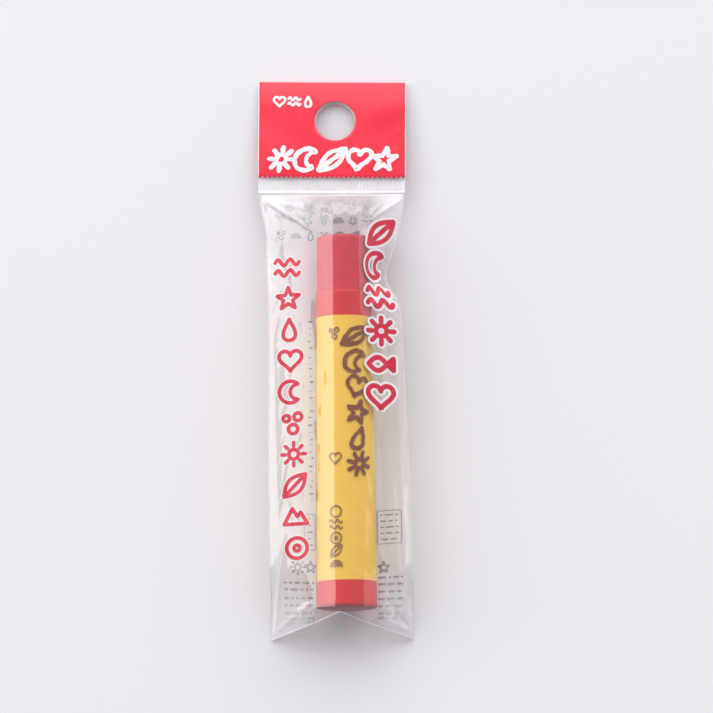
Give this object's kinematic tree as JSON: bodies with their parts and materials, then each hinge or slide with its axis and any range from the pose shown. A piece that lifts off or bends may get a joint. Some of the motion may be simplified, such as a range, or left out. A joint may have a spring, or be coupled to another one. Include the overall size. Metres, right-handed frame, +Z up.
{
  "type": "packaged oil-pastel crayon",
  "caption": "Fat oil-pastel crayon in a paper wrapper, lying loose in a sealed clear film pouch with a folded header strip and a hang hole.",
  "frame": {"origin": "middle of the bounding box in X and Y, at the height of the table that the pouch lies on", "axes": "+X across the pouch, +Y along the crayon from its foot to the header, +Z up from the table through the printed front"},
  "size_m": [0.0276, 0.1023, 0.0116],
  "materials": {
    "red_pigment": "waxy pressed pigment, satin",
    "label_paper": "printed paper, yellow between two red bands",
    "clear_film": "clear glossy film, about 0.04 mm thick on the real pouch",
    "printed_header": "red printed front on white stock"
  },
  "bodies": {
    "pouch": {"front_film": "clear_film", "back_film": "clear_film", "left_side_weld": "clear_film", "right_side_weld": "clear_film", "bottom_fold": "clear_film"},
    "crayon": {"pigment_stick": "red_pigment", "paper_wrapper": "label_paper"},
    "header": {"top_seal_band": "clear_film", "header_strip": "printed_header"}
  },
  "joints": [
    {"name": "crayon_slide", "type": "slide", "parent": "pouch", "child": "crayon", "axis": [0, 1, 0], "range_m": [0, 0.003]},
    {"name": "header_bend", "type": "hinge", "parent": "pouch", "child": "header", "pos_m": [-0.00039, 0.03018, 0.00275], "axis": [1, 0, 0], "range_deg": [0, 90]}
  ]
}
